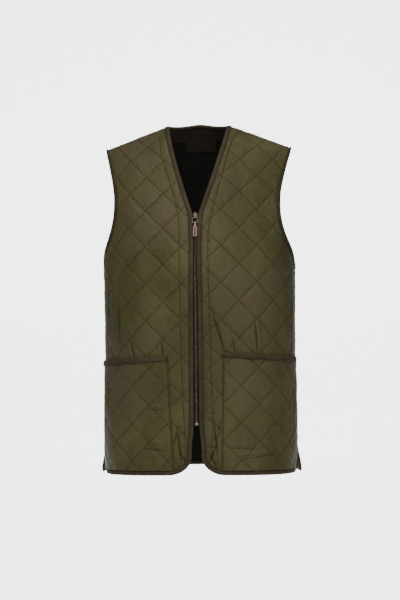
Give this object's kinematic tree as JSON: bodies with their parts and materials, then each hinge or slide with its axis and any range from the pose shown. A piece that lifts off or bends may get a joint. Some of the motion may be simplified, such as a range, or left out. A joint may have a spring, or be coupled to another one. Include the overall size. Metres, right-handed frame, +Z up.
{
  "type": "quilted vest",
  "caption": "Hollow quilted waistcoat with a V neck, bound edges, two patch pockets, side vents and a front zip with a hinged pull, shaped as worn",
  "frame": {"origin": "midway between the middles of the two shoulder seams, where the wearer's shoulders hold it", "axes": "+X is the picture's right (the wearer's left), -Y is the front with the zip, +Z is up"},
  "size_m": [0.4096, 0.2727, 0.7148],
  "materials": {
    "quilted_cloth": "olive woven nylon with a soft satin sheen, quilted in square diamonds over wadding",
    "binding": "dark brown-olive folded tape, fine twill",
    "facing": "plain matt olive-brown cloth",
    "zip_tape": "near-black woven tape",
    "zip_brass": "dull antique brass teeth",
    "zip_nickel": "aged nickel",
    "pull_copper": "dull pinkish copper"
  },
  "bodies": {
    "vest": {"front_left": "quilted_cloth", "front_right": "quilted_cloth", "back": "quilted_cloth", "pocket_left": "quilted_cloth", "pocket_right": "quilted_cloth", "pocket_binding_left": "binding", "pocket_binding_right": "binding", "binding_front_left": "binding", "binding_front_right": "binding", "binding_back_neck": "binding", "binding_back_hem": "binding", "armhole_binding_left": "binding", "armhole_binding_right": "binding", "neck_facing": "facing", "neck_patch": "facing", "zip_tape_left": "zip_tape", "zip_tape_right": "zip_tape", "zip_chain": "zip_brass", "zip_bottom_stop": "zip_nickel", "zip_slider": "zip_nickel"},
    "pull_ring": {"pull_link": "zip_nickel"},
    "pull": {"pull_tab": "pull_copper"}
  },
  "joints": [
    {"name": "ring_hinge", "type": "hinge", "parent": "vest", "child": "pull_ring", "pos_m": [0, -0.12588, -0.16665], "axis": [-1, 0, 0], "range_deg": [0, 115]},
    {"name": "tab_hinge", "type": "hinge", "parent": "pull_ring", "child": "pull", "pos_m": [0, -0.12876, -0.17747], "axis": [-1, 0, 0], "range_deg": [0, 60]}
  ]
}
